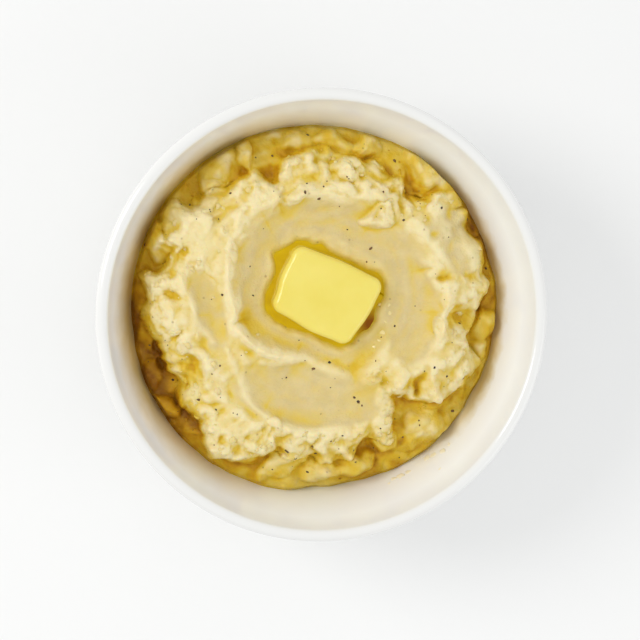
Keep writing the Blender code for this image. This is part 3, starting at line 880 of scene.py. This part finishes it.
def potato(name, scatter):
    """Mash, tan where smoothed; its crests carry a painted highlight in pale cream, its creases and
    low places turn golden to brown, partly butter soaked in and partly painted shade.
    """
    surface = Surface(
        name,
        Subsurface_Weight=0.3,
        Subsurface_Radius=(1.0, 0.55, 0.18),
        Subsurface_Scale=scatter,
        Specular_IOR_Level=0.25,
        IOR=1.42,
    )
    place = surface.place()
    masks = surface.add("Attribute", attribute_name="mash_masks")
    split = surface.add("SeparateColor", {"Color": masks.outputs["Color"]})
    shade_and_soak, spooned, soaked = (split.outputs[name] for name in ("Red", "Green", "Blue"))
    # The crest channel is a painted highlight: pale cream on crests and ridges.
    crest_highlight = surface.multiply(masks.outputs["Alpha"], 0.55)
    patches = surface.noise(0.006, 5.0, 0.62, vector=place)
    cream = surface.mix(surface.between(patches, 0.35, 0.65), MASH_CREAM, MASH_YELLOW)
    drawn = surface.noise(0.005, 4.0, 0.6, vector=place)
    smooth = surface.mix(surface.between(drawn, 0.38, 0.62), MASH_TAN, MASH_TAN_PALE)
    body = surface.mix(spooned, cream, smooth)
    body = surface.mix(crest_highlight, body, MASH_CREST_HIGHLIGHT)
    # Golden to brown in creases and low places: partly butter soaked in, partly painted shade,
    # darkest beside the wall.
    ramp = surface.add("ValToRGB", {"Fac": shade_and_soak})
    stops = ramp.color_ramp.elements
    stops[0].color = (*MASH_YELLOW, 1)
    stops[1].color = (*MASH_BROWN, 1)
    stops.new(0.22).color = (*MASH_STRAW, 1)
    stops.new(0.42).color = (*MASH_GOLD, 1)
    stops.new(0.7).color = (*MASH_AMBER, 1)
    body = surface.mix(surface.between(shade_and_soak, 0.0, 0.22), body, ramp.outputs["Color"])
    body = surface.mix(soaked, body, MASH_SOAKED)
    spots = surface.add("TexVoronoi", {"Scale": 260.0, "Vector": place}, feature="F1")
    near = surface.between(spots.outputs["Distance"], 0.16, 0.06)
    chance = surface.add("SeparateColor", {"Color": spots.outputs["Color"]}).outputs["Red"]
    some = surface.between(chance, 0.82, 0.86)
    fleck = surface.multiply(surface.multiply(near, some), 0.55)
    surface.colour(surface.mix(fleck, body, MASH_FLECK))
    sheen = surface.between(surface.noise(0.003, 2.0, vector=place), 0.35, 0.65, 0.34, 0.52)
    smoothed = surface.between(spooned, 0.0, 1.0, 1.0, 0.85)
    wet = surface.between(soaked, 0.2, 0.9, 1.0, 0.3)
    surface.roughness(surface.multiply(surface.multiply(sheen, smoothed), wet))
    surface.bump(surface.noise(0.0022, 4.0, 0.6, vector=place), 0.0006, 0.7)
    surface.bump(surface.noise(0.0008, 2.0, vector=place), 0.0003, 0.5)
    return surface.material


def butter():
    """Pale yellow butter, wet on its softened outside."""
    surface = Surface(
        "butter",
        Roughness=0.2,
        IOR=1.46,
        Specular_IOR_Level=0.35,
        Subsurface_Weight=0.25,
        Subsurface_Radius=(1.0, 0.7, 0.2),
        Subsurface_Scale=0.003,
        Coat_Weight=0.3,
        Coat_Roughness=0.06,
    )
    place = surface.place()
    cloud = surface.between(surface.noise(0.01, 2.0, vector=place), 0.3, 0.7)
    surface.colour(surface.mix(cloud, (0.76, 0.63, 0.11), (0.79, 0.67, 0.145)))
    surface.bump(surface.noise(0.004, 2.0, vector=place), 0.0002, 0.2)
    return surface.material


def melted():
    """Clear golden fat, with a painted shadow of the pat on it in dark amber."""
    surface = Surface("melted_butter", Roughness=0.12, IOR=1.46, Specular_IOR_Level=0.12)
    place = surface.place()
    cloud = surface.between(surface.noise(0.006, 2.0, vector=place), 0.3, 0.7)
    gold = surface.mix(cloud, (0.62, 0.42, 0.002), (0.54, 0.34, 0.001))
    # Painted shadow of the pat on the pool, in dark amber.
    away = surface.add("VectorMath", {0: place}, operation="DISTANCE")
    away.inputs[1].default_value = PAT_SHADOW_SPOT
    pat_shadow = surface.between(away.outputs["Value"], 0.007, 0.0015)
    surface.colour(surface.mix(pat_shadow, gold, (0.25, 0.075, 0.0)))
    return surface.material


# Centre of the pat's painted shadow on the pool, in metres.
PAT_SHADOW_SPOT = (0.0195, -0.0045, 0.045)


def smear():
    """Mash so thin that the white glaze shows through."""
    surface = Surface("thin_mash", Roughness=0.3)
    surface.colour(surface.mix(surface.noise(0.002, 3.0), SMEAR_PALE, SMEAR_YELLOW))
    return surface.material


SMEAR_PALE = (0.90, 0.87, 0.74)
SMEAR_YELLOW = (0.86, 0.78, 0.52)


def beads():
    """Melted butter in drops too shallow to look golden."""
    surface = Surface("butter_beads", Roughness=0.06, IOR=1.46, Specular_IOR_Level=0.7)
    surface.colour(surface.mix(surface.noise(0.002, 1.0), (0.80, 0.68, 0.34), (0.74, 0.58, 0.20)))
    return surface.material


def pepper():
    """Cracked pepper, near black to brown."""
    surface = Surface("cracked_pepper", Roughness=0.55)
    cloud = surface.between(surface.noise(0.004, 1.0), 0.4, 0.6)
    surface.colour(surface.mix(cloud, (0.035, 0.018, 0.008), (0.16, 0.075, 0.02)))
    return surface.material


# ---------------------------------------------------------------------------------------
# Pieces.
# ---------------------------------------------------------------------------------------
def make_bowl(material):
    rings = lathe(bowl_profile(), BOWL_SIDES)
    points = [point for ring in rings for point in ring]
    bowl = add_mesh("bowl_glazed", points, loft_faces(rings), material)
    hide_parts("bowl")
    return bowl


def top_rings():
    """Rings over the mash as plan positions, the last one at the wall."""
    rings = []
    for number in range(MASH_RINGS + 1):
        count = max(1, 6 * number)
        angle = np.arange(count) * 2 * math.pi / count
        edge = radial_wall(contact_height(angle), MASH_CLEARANCE)
        radius = edge * number / MASH_RINGS
        rings.append(np.column_stack((radius * np.cos(angle), radius * np.sin(angle))))
    return rings


def dragged(plan):
    """Noise drawn out round the dish, as the spoon leaves it."""
    off_x, off_y = plan[:, 0] - DRAG_CENTRE[0], plan[:, 1] - DRAG_CENTRE[1]
    around = np.arctan2(off_y, off_x)
    turn = np.column_stack((np.cos(around), np.sin(around))) * DRAG_RADIUS / DRAG_STRETCH
    return space_noise(np.column_stack((turn, np.hypot(off_x, off_y))), DRAG_SIZE, NOISE_SEED + 75)


def mash_masks(points, edges, plan):
    """Painted shade with soaked butter in creases and low places, spoon-smoothed places,
    butter-soaked places and painted highlights on crests, from 0 to 1 each.
    """
    height = points[:, 2]
    fine = blurred(height, edges, 12)
    middle = blurred(fine, edges, 40)
    broad = blurred(middle, edges, 120)
    # Painted shade in creases and painted highlight on crests, read from the relief.
    shade_and_soak = 0.35 * ((fine - height) / 0.35).clip(0, 1) + 0.3 * ((middle - fine) / 0.4).clip(0, 1)
    shade_and_soak += 0.35 * ((broad - height) / 1.6).clip(0, 1)
    crest_highlight = 0.6 * ((height - broad) / 0.9).clip(0, 1) + 0.6 * ((fine - middle) / 0.3).clip(0, 1)
    outside = 1 - spooned_share(plan[:, 0], plan[:, 1])
    streak = dragged(plan) * (0.4 + 0.6 * outside)
    shade_and_soak += 0.35 * (-streak).clip(0, 1)
    crest_highlight = (crest_highlight + 0.5 * streak.clip(0, 1)).clip(0, 1)
    # Painted shade down the mound's flank and over the low layer, darkest where it dips deepest,
    # partly butter soaked in.
    flank = smooth_step((FLANK_TOP - height) / (FLANK_TOP - FLANK_BOTTOM))
    low = smooth_step((DEEP_TOP - height) / (DEEP_TOP - DEEP_BOTTOM))
    direction = np.degrees(np.arctan2(plan[:, 1], plan[:, 0]))
    dip = (lobes_reach(direction, LOW_DIPS) / DARKEST_DIP).clip(0, 1)
    mottle = np.zeros(len(points))
    for number, (size, share) in enumerate(MOTTLES):
        mottle += share * space_noise(points, size, NOISE_SEED + 95 + number)
    depth = (0.2 * flank + mottle * (0.5 + 1.5 * flank)) * outside + (0.08 + 0.7 * dip) * low
    # Painted shade in the dents.
    for x, y, radius, rise in DENTS:
        off = np.hypot(plan[:, 0] - x, plan[:, 1] - y) / radius
        depth += PIT_DEPTH * rise * np.exp(-2 * off**2)
    # The painted crease shade fades out at the wall; painted shade beside the wall is added where the
    # wall and the mound shadow the mash.
    reach = np.hypot(plan[:, 0], plan[:, 1]) / radial_wall(CONTACT_HEIGHT)
    shade_and_soak = shade_and_soak * (0.12 + 0.88 * smooth_step((0.98 - reach) / 0.06))
    shade = lobes_reach(direction, WALL_SHADES) * smooth_step((reach - 0.93) / 0.04)
    shade_and_soak = (0.4 * shade_and_soak * (1 - 0.35 * low) + depth + shade).clip(0, 1)
    spooned = spooned_share(plan[:, 0], plan[:, 1]) * (1 - shade_and_soak) * (1 - crest_highlight)
    soaked = np.exp(-(shore_distance(plan[:, 0], plan[:, 1]).clip(0) / 1.6))
    for x, y, radius, strength in STAINS:
        off = np.hypot(plan[:, 0] - x, plan[:, 1] - y) / radius
        soaked = np.maximum(soaked, strength * np.exp(-(off**2)))
    crest_highlight = crest_highlight * (1 - 0.6 * flank)
    # Patches of torn mash take the pale colour of the painted highlight.
    for x, y, radius, strength in PALE_PATCHES:
        off = np.hypot(plan[:, 0] - x, plan[:, 1] - y) / radius
        crest_highlight = np.maximum(crest_highlight, strength * np.exp(-(off**2)) * outside)
    # The painted crease shade is lightened in places.
    for x, y, radius, strength in LIGHT_CREASES:
        off = np.hypot(plan[:, 0] - x, plan[:, 1] - y) / radius
        shade_and_soak = shade_and_soak * (1 - strength * np.exp(-(off**2)))
    return np.column_stack((shade_and_soak, spooned, soaked, crest_highlight))


def make_mash(material):
    rings = top_rings()
    faces = np.array(loft_faces(rings))
    edges = edge_pairs(faces)
    plan = np.vstack(rings)
    rim = len(rings[-1])
    fixed_from = len(plan) - rim
    height, tornness = mash_height(plan[:, 0], plan[:, 1])
    low = smooth_step((DEEP_TOP - height) / (DEEP_TOP - DEEP_BOTTOM))
    height += tornness * (1 - LOW_SOFTNESS * low) * slab_relief(plan[:, 0], plan[:, 1])
    angle = np.arctan2(plan[fixed_from:, 1], plan[fixed_from:, 0])
    height[fixed_from:] = contact_height(angle)
    points = np.column_stack((plan, height))
    normals = corner_normals(points, faces)
    soft = smooth_step((FLANK_TOP - height) / (FLANK_TOP - FLANK_BOTTOM))
    rough = tornness * (1 - LOW_SOFTNESS * soft)
    relief = np.zeros(len(points))
    for number, (size, rise) in enumerate(FINE_LUMPS):
        bumps = 2.0 * np.abs(space_noise(points, size, NOISE_SEED + 60 + number)) - 0.4
        relief += rise * rough * bumps
    relief += GRAIN_RISE * (0.35 + rough) * space_noise(points, GRAIN_SIZE, NOISE_SEED + 70)
    relief += DRAG_RISE * (0.4 + 0.6 * rough) * dragged(plan)
    over_pool = smooth_step(shore_distance(plan[:, 0], plan[:, 1]) / 1.5)
    relief *= over_pool
    relief[fixed_from:] = 0
    points = points + normals * relief[:, None]
    masks = mash_masks(points, edges, plan)
    bend = arc(bend_centre(), FLOOR_BEND - MASH_CLEARANCE, math.pi / 2 - WALL_LEAN, 0, 5)
    floor = FLOOR_HEIGHT + MASH_CLEARANCE
    under = lathe(bend + [(bend[-1][0] / 2, floor), (0.0, floor)], UNDER_POINTS)
    numbers = ring_numbers([range(fixed_from), range(rim)] + under)
    below = [face for pair in zip(numbers[1:], numbers[2:]) for face in zip_rings(*pair)]
    under_points = np.vstack([np.array(ring) for ring in under])
    every_point = np.vstack((points, under_points))
    mash = add_mesh("mash_torn", every_point, faces.tolist() + below, material)
    colours = mash.data.color_attributes.new("mash_masks", "FLOAT_COLOR", "POINT")
    under_masks = np.tile((1.0, 0.0, 0.0, 1.0), (len(under_points), 1))
    colours.data.foreach_set("color", np.vstack((masks, under_masks)).ravel())
    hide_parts("mash")
    return mash


def make_pat(material):
    """The pat: rounded over its top edge, slumped at its foot, a little uneven."""
    foot = WELL_FLOOR + 0.1
    top = PAT_TOP - PAT_EDGE_RADIUS
    levels = []
    for step in range(9):
        angle = math.pi / 2 * step / 8
        inset = PAT_EDGE_RADIUS * (1 - math.sin(angle))
        levels.append((-inset, top + PAT_EDGE_RADIUS * math.cos(angle)))
    for step in range(1, 9):
        share = step / 8
        spread = PAT_FOOT_SPREAD * share**2
        levels.append((spread, top + (foot + 0.5 - top) * share))
    levels.append((PAT_FOOT_SPREAD * 0.6, foot))
    loops = [[(x, y, height) for x, y in pat_loop(offset)] for offset, height in levels]
    middle = np.mean(PAT_CORNERS, axis=0)
    centre = np.array((middle[0], middle[1], PAT_TOP))
    crown = []
    for share in (0.0, 0.15, 0.3, 0.45, 0.6, 0.75, 0.88):
        ring = [centre]
        if share > 0:
            ring = [centre + (np.array(point) - centre) * share for point in loops[0]]
        crown.append(ring)
    base = [[(middle[0], middle[1], foot)]]
    rings = crown + loops + base
    points = np.vstack([np.array(ring) for ring in rings])
    faces = loft_faces(rings)
    normals = corner_normals(points, np.array(faces))
    uneven = 0.22 * space_noise(points, 9.0, NOISE_SEED + 80)
    uneven += 0.05 * space_noise(points, 2.5, NOISE_SEED + 81)
    points = points + normals * uneven[:, None]
    pat = add_mesh("butter_pat_soft", points, faces, material)
    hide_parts("butter_pat")
    return pat


def make_pool(material):
    """Melted butter that fills the well, drawn up a little where it meets the pat."""
    section = (
        (-0.8, 0.0, 0.3),
        (0.05, 0.0, 0.3),
        (0.3, 0.0, 0.1),
        (0.6, 0.0, 0.02),
        (0.0, 0.6, 0.0),
        (0.0, 1.0, 0.0),
        (1.5, 1.0, 0.0),
        (2.2, 1.0, -0.8),
        (0.0, 1.0, -1.6),
        (-0.8, 0.0, -1.6),
    )
    rings = []
    for offset, share, rise in section:

        def reach(x, y, offset=offset, share=share):
            return offset + share * pool_width(x, y)

        rings.append([(x, y, POOL_TOP + rise) for x, y in pat_loop(reach, 10, 24)])
    points = np.vstack([np.array(ring) for ring in rings])
    points[:, 2] += 0.04 * space_noise(points, 3.0, NOISE_SEED + 90)
    pool = add_mesh("melted_butter_pool", points, loft_faces(rings, closed=True), material)
    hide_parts("melted_butter")
    return pool


def ball(steps):
    """Corners and triangles of a unit ball, made as an icosphere."""
    mesh = bmesh.new()
    bmesh.ops.create_icosphere(mesh, subdivisions=steps, radius=1.0)
    corners = np.array([vertex.co for vertex in mesh.verts])
    triangles = np.array([[v.index for v in face.verts] for face in mesh.faces])
    mesh.free()
    return corners, triangles


def surface_under(tree, x, y):
    """Where a straight fall meets the mash, and the way it faces there, in millimetres."""
    hit, normal, _, _ = tree.ray_cast(Vector((x * MM, y * MM, 0.09)), Vector((0, 0, -1)))
    return np.array(hit) / MM, np.array(normal)


def bits(places, shape, flatness, bury, unevenness, seed):
    """Corners and triangles of small uneven bits, each (x, y, size), half sunk in the mash."""
    tree, spots = places
    corners, triangles = shape
    random = np.random.default_rng(seed)
    points, faces = [], []
    for x, y, size in spots:
        spot, normal = surface_under(tree, x, y)
        up = Vector(normal).to_track_quat("Z", "Y").to_matrix()
        turn = Matrix.Rotation(random.uniform(0, 2 * math.pi), 3, "Z")
        matrix = np.array(up @ turn)
        shift = random.uniform(0, 100, 3)
        lump = corners * (1 + unevenness * space_noise(corners + shift, 0.9, seed))[:, None]
        scale = size / 2 * np.array((1.0, random.uniform(0.6, 0.95), flatness))
        body = (lump * scale) @ matrix.T + spot - normal * size / 2 * flatness * bury
        faces.append(triangles + len(corners) * len(points))
        points.append(body)
    return np.vstack(points), np.vstack(faces).tolist()


# Largest flecks of pepper: x, y, size.
BIG_FLECKS = (
    (19.5, 23.5, 1.8),
    (31, 34, 1.3),
    (29.3, 55.5, 1.5),
    (57, 33.5, 1.4),
    (64.5, 15, 1.3),
    (52.7, -4.5, 1.3),
    (47.5, -24, 1.1),
    (54, -25, 1.2),
    (42.3, -20.2, 1.2),
    (52, -38.5, 1.6),
    (-2, -20.5, 1.5),
    (4, -18.3, 1.6),
    (13.3, -31.5, 1.3),
    (14.7, -33.2, 1.6),
    (16, -34.5, 1.0),
    (-2.3, -49.5, 1.7),
    (-0.5, -52.6, 1.8),
    (-3.5, -59.8, 1.5),
    (-12, -51.0, 2.0),
    (-8.5, -54, 1.5),
    (-44.5, -31.3, 1.4),
    (-53, -25, 1.4),
    (-63, 25, 1.2),
    (-50, 40, 1.2),
    (-46.5, 39.5, 1.5),
    (-32.5, 44.2, 1.3),
    (-6, 44.7, 1.6),
    (-0.5, 42.2, 1.7),
    (-16.3, 57.5, 1.3),
    (-3, 65, 1.5),
    (-36, 7.5, 1.2),
    (45.2, 38.5, 1.4),
)
SMALL_FLECKS = 90
LOW_CRUMBS = 0.3
CRUMB_PALENESS = 0.35
CRUMBS = 220


def scattered(random, count, low_size, high_size, accept):
    """Places spread over the mash that a test accepts, each with a size."""
    spots = []
    while len(spots) < count:
        x, y = random.uniform(-66, 66, 2)
        size = low_size + (high_size - low_size) * random.uniform() ** 2
        if math.hypot(x, y) < 65.5 and accept(x, y, random):
            spots.append((x, y, size))
    return spots


def make_pepper(tree, material):
    random = np.random.default_rng(NOISE_SEED + 100)

    def clear_of_butter(x, y, _):
        return float(pat_distance(x, y)) > 3.0

    small = scattered(random, SMALL_FLECKS, 0.5, 1.1, clear_of_butter)
    spots = list(BIG_FLECKS) + small
    points, faces = bits((tree, spots), ball(1), 0.45, 0.2, 0.5, NOISE_SEED + 101)
    flecks = add_mesh("pepper_flecks", points, faces, material)


def make_crumbs(tree, material):
    random = np.random.default_rng(NOISE_SEED + 110)

    def on_torn_mash(x, y, random):
        inside = mound_inside(x, y)
        chance = torn_share(x, y, inside) ** 2 * (LOW_CRUMBS + (1 - LOW_CRUMBS) * (inside > 0))
        return random.uniform() < float(chance)

    spots = scattered(random, CRUMBS, 0.9, 3.2, on_torn_mash)
    points, faces = bits((tree, spots), ball(2), 0.6, 0.5, 0.9, NOISE_SEED + 111)
    crumbs = add_mesh("mash_crumbs", points, faces, material)
    colours = crumbs.data.color_attributes.new("mash_masks", "FLOAT_COLOR", "POINT")
    # Lower crumbs take painted shade as the low layer does; all take a share of the pale crest
    # colour.
    low = ((46.0 - points[:, 2]) / 9.0).clip(0, 1) * 0.8
    nothing = np.zeros(len(points))
    masks = np.column_stack((low, nothing, nothing, nothing + CRUMB_PALENESS))
    colours.data.foreach_set("color", masks.ravel())


# Beads of melted butter on the mash beside the pool: x, y, size.
BEADS = (
    (26.2, 2.5, 1.5),
    (26.6, -0.4, 1.8),
    (24.8, -3.6, 1.3),
    (23.8, -7.6, 1.9),
    (22.3, -10.4, 1.6),
    (20.6, -12.8, 1.3),
)


def make_beads(tree, material):
    points, faces = bits((tree, BEADS), ball(3), 0.4, 0.25, 0.35, NOISE_SEED + 140)
    beads = add_mesh("butter_beads", points, faces, material)


# Thin smears of mash left on the bowl's wall: x, y, size.
SMEARS = (
    (42.0, -56.0, 3.4),
    (44.5, -54.5, 2.6),
    (47.5, -53.0, 3.0),
    (50.0, -50.5, 2.0),
    (29.5, -63.5, 2.6),
    (32.0, -62.5, 3.6),
    (35.0, -61.0, 2.4),
    (27.5, -65.0, 1.6),
    (45.0, -58.5, 1.4),
)


def make_smears(tree, material):
    points, faces = bits((tree, SMEARS), ball(3), 0.12, 0.3, 0.6, NOISE_SEED + 130)
    smears = add_mesh("mash_smears", points, faces, material)


# ---------------------------------------------------------------------------------------
# Floor, light and camera.
# ---------------------------------------------------------------------------------------
CAMERA_TILT = math.radians(9.7)
CAMERA_SIDE = (-0.82, 0.57)
CAMERA_DISTANCE = 0.9
CAMERA_AIM = Vector((-0.0017, -0.0011, BOWL_HEIGHT * MM))
FRAME_WIDTH = 0.2311


def make_floor():
    bpy.ops.mesh.primitive_plane_add(size=6.0, location=(0, 0, 0))
    floor = bpy.context.object
    floor.name = "floor"
    surface = Surface("pale_floor", Roughness=0.6)
    cloud = surface.between(surface.noise(0.4, 2.0), 0.3, 0.7)
    surface.colour(surface.mix(cloud, (0.80, 0.80, 0.79), (0.83, 0.83, 0.82)))
    floor.data.materials.append(surface.material)


def add_light(name, place, size, power, colour=(1, 1, 1)):
    data = bpy.data.lights.new(name, "AREA")
    data.shape = "DISK"
    data.size = size
    data.energy = power
    data.color = colour
    light = bpy.data.objects.new(name, data)
    bpy.context.scene.collection.objects.link(light)
    light.location = place
    aim = Vector(place) - Vector((0, 0, 0.05))
    light.rotation_euler = aim.to_track_quat("Z", "Y").to_euler()


def make_light():
    add_light("window", (-0.95, 0.35, 0.85), 0.6, 5.6, (1.0, 0.985, 0.96))
    add_light("reflector", (0.95, -0.5, 0.55), 0.9, 2.2)
    world = bpy.data.worlds.new("soft_room")
    bpy.context.scene.world = world
    world.use_nodes = True
    background = world.node_tree.nodes["Background"]
    background.inputs["Color"].default_value = (0.98, 0.99, 1.0, 1.0)
    background.inputs["Strength"].default_value = 0.93


def make_camera():
    side = Vector(CAMERA_SIDE).normalized() * math.sin(CAMERA_TILT)
    toward = Vector((side.x, side.y, math.cos(CAMERA_TILT)))
    right = Vector((0, 1, 0)).cross(toward).normalized()
    matrix = Matrix((right, toward.cross(right), toward)).transposed().to_4x4()
    matrix.translation = CAMERA_AIM + toward * CAMERA_DISTANCE
    data = bpy.data.cameras.new("camera")
    data.lens = data.sensor_width * CAMERA_DISTANCE / FRAME_WIDTH
    data.clip_start = 0.01
    camera = bpy.data.objects.new("camera", data)
    bpy.context.scene.collection.objects.link(camera)
    camera.matrix_world = matrix
    bpy.context.scene.camera = camera


bowl = make_bowl(glaze())
mash = make_mash(potato("mashed_potato", 0.0018))
make_pat(butter())
make_pool(melted())
bpy.context.view_layer.update()
shapes = bpy.context.evaluated_depsgraph_get()
mash_tree = BVHTree.FromObject(mash, shapes)
make_smears(BVHTree.FromObject(bowl, shapes), smear())
make_crumbs(mash_tree, potato("mash_crumb", 0.0003))
make_beads(mash_tree, beads())
make_pepper(mash_tree, pepper())
make_floor()
make_light()
make_camera()
bpy.context.scene.view_settings.view_transform = "Standard"
